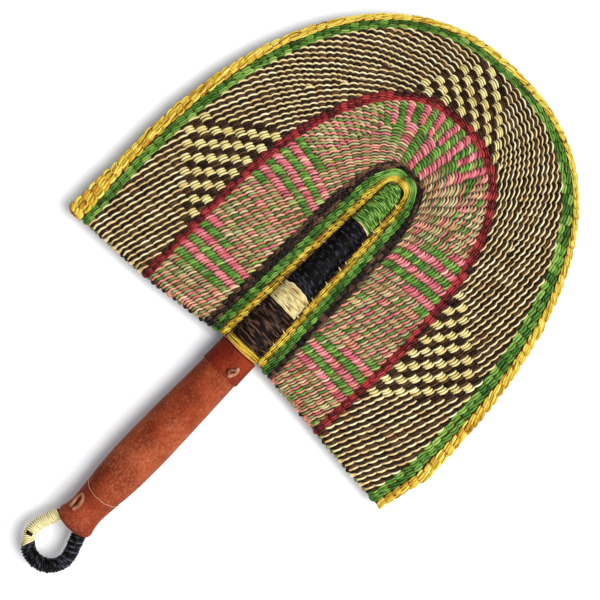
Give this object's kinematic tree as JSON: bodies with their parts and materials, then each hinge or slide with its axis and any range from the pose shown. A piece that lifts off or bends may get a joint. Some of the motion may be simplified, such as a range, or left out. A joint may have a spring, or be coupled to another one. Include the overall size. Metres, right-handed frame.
{
  "type": "bolga fan",
  "caption": "Hand fan with a flat U-shaped blade twined of dyed straw over spokes, a wrapped spine, a leather-covered grip and a wrapped hanging loop.",
  "frame": {"origin": "below the middle of the fan's outline, on the surface the grip lies on", "axes": "+Y runs up the spine from the loop to the blade's tip, +X runs across the blade, +Z out of its front"},
  "size_m": [0.291, 0.4515, 0.0315],
  "materials": {
    "bare_stalk": "dry grass stalks, undyed",
    "yellow_straw": "split grass straw, dyed yellow, satin",
    "green_straw": "split grass straw, dyed green, satin",
    "brown_straw": "split grass straw, dyed dark brown, satin",
    "cream_straw": "split grass straw, undyed, satin",
    "black_straw": "split grass straw, dyed blue-black, satin",
    "pink_green_straw": "split grass straws, dyed pink and green, twined in turn",
    "crimson_straw": "split grass straw, dyed crimson, satin",
    "cream_brown_straw": "split grass straws, undyed and dark brown, twined in turn",
    "suede_leather": "soft tanned skin with a napped surface",
    "dark_leather": "tanned skin, darker and smoother",
    "lace_leather": "cut leather lace, pale"
  },
  "bodies": {
    "root": {"foot_binding": "yellow_straw", "brown_spine_wrap": "brown_straw", "cream_spine_wrap": "cream_straw", "black_spine_wrap": "black_straw", "green_spine_wrap": "green_straw", "cream_loop_wrap": "cream_straw", "black_loop_wrap": "black_straw", "loop_core": "bare_stalk", "upper_lace": "lace_leather", "lower_lace": "lace_leather", "core_bundle": "bare_stalk", "grip_leather": "suede_leather", "upper_collar": "dark_leather", "lower_collar": "suede_leather", "spoke_01": "bare_stalk", "spoke_02": "bare_stalk", "spoke_03": "bare_stalk", "spoke_04": "bare_stalk", "spoke_05": "bare_stalk", "spoke_06": "bare_stalk", "spoke_07": "bare_stalk", "spoke_08": "bare_stalk", "spoke_09": "bare_stalk", "spoke_10": "bare_stalk", "spoke_11": "bare_stalk", "spoke_12": "bare_stalk", "spoke_13": "bare_stalk", "spoke_14": "bare_stalk", "spoke_15": "bare_stalk", "spoke_16": "bare_stalk", "spoke_17": "bare_stalk", "spoke_18": "bare_stalk", "spoke_19": "bare_stalk", "spoke_20": "bare_stalk", "spoke_21": "bare_stalk", "spoke_22": "bare_stalk", "spoke_23": "bare_stalk", "spoke_24": "bare_stalk", "spoke_25": "bare_stalk", "spoke_26": "bare_stalk", "spoke_27": "bare_stalk", "spoke_28": "bare_stalk", "spoke_29": "bare_stalk", "spoke_30": "bare_stalk", "spoke_31": "bare_stalk", "spoke_32": "bare_stalk", "spoke_33": "bare_stalk", "spoke_34": "bare_stalk", "spoke_35": "bare_stalk", "spoke_36": "bare_stalk", "spoke_37": "bare_stalk", "inner_yellow_courses": "yellow_straw", "inner_green_courses": "green_straw", "dark_brown_courses": "brown_straw", "pink_green_field": "pink_green_straw", "crimson_courses": "crimson_straw", "cream_brown_field": "cream_brown_straw", "outer_green_courses": "green_straw", "yellow_edge_plait": "yellow_straw"}
  },
  "joints": []
}
